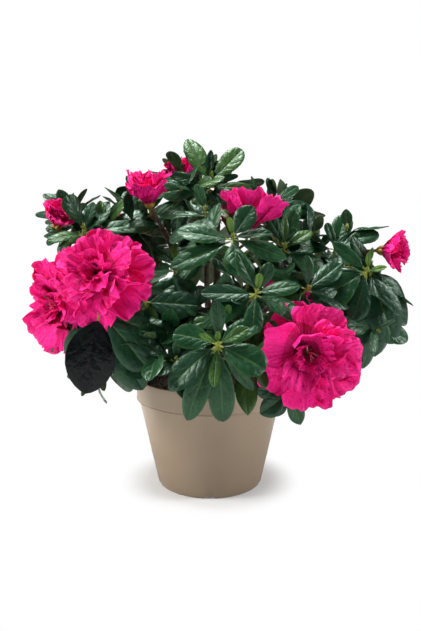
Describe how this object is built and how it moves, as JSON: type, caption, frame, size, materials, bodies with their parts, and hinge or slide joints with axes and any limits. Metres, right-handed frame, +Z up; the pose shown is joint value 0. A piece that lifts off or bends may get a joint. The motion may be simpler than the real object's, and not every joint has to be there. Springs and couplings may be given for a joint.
{
  "type": "potted azalea shrub",
  "caption": "Low spreading evergreen azalea with dark glossy leaves and double pink blooms, in a tapered round plastic pot with a banded rim.",
  "frame": {"origin": "centre of the pot's flat underside, at the level that the pot stands on", "axes": "+Z up along the pot's axis, -Y towards the side of the plant with the two largest blooms, +X to the right of that view"},
  "size_m": [0.3231, 0.2503, 0.2993],
  "materials": {
    "pot": "smooth moulded polypropylene in taupe, with a soft sheen",
    "compost": "moist dark peat compost with bark crumbs",
    "bark": "brown flaking bark, with greener young shoots",
    "leaf": "dark green semi-glossy leaves with sunken midribs",
    "petal": "soft ruffled petals in hot pink, with darker veins"
  },
  "bodies": {
    "root": {"pot": "pot", "compost": "compost", "trunk": "bark", "bough_back": "bark", "bough_front": "bark", "bough_left": "bark", "bough_left_back": "bark", "bough_left_front": "bark", "bough_right": "bark", "bough_right_back": "bark", "bough_right_front": "bark", "bough_right_top": "bark", "bough_top": "bark", "bough_top_left": "bark", "bloom_left": "petal", "bloom_left_back": "petal", "bloom_left_low": "petal", "bloom_middle": "petal", "bloom_right": "petal", "bloom_right_back": "petal", "bud_back": "petal", "bud_left": "petal", "bud_right": "petal", "bud_top_back": "petal", "bud_top_left": "petal", "foliage_back": "leaf", "foliage_front": "leaf", "foliage_front_left": "leaf", "foliage_left_back": "leaf", "foliage_left_inner": "leaf", "foliage_left_low": "leaf", "foliage_left_low_back": "leaf", "foliage_left_middle": "leaf", "foliage_left_side": "leaf", "foliage_left_top": "leaf", "foliage_left_top_back": "leaf", "foliage_middle_front": "leaf", "foliage_middle_left": "leaf", "foliage_middle_top": "leaf", "foliage_right_back": "leaf", "foliage_right_end": "leaf", "foliage_right_front": "leaf", "foliage_right_low": "leaf", "foliage_right_low_back": "leaf", "foliage_right_middle": "leaf", "foliage_right_shoulder": "leaf", "foliage_right_side": "leaf", "foliage_right_top": "leaf", "foliage_right_top_back": "leaf", "foliage_top": "leaf", "foliage_top_back": "leaf", "foliage_top_left": "leaf", "foliage_top_right": "leaf"}
  },
  "joints": []
}
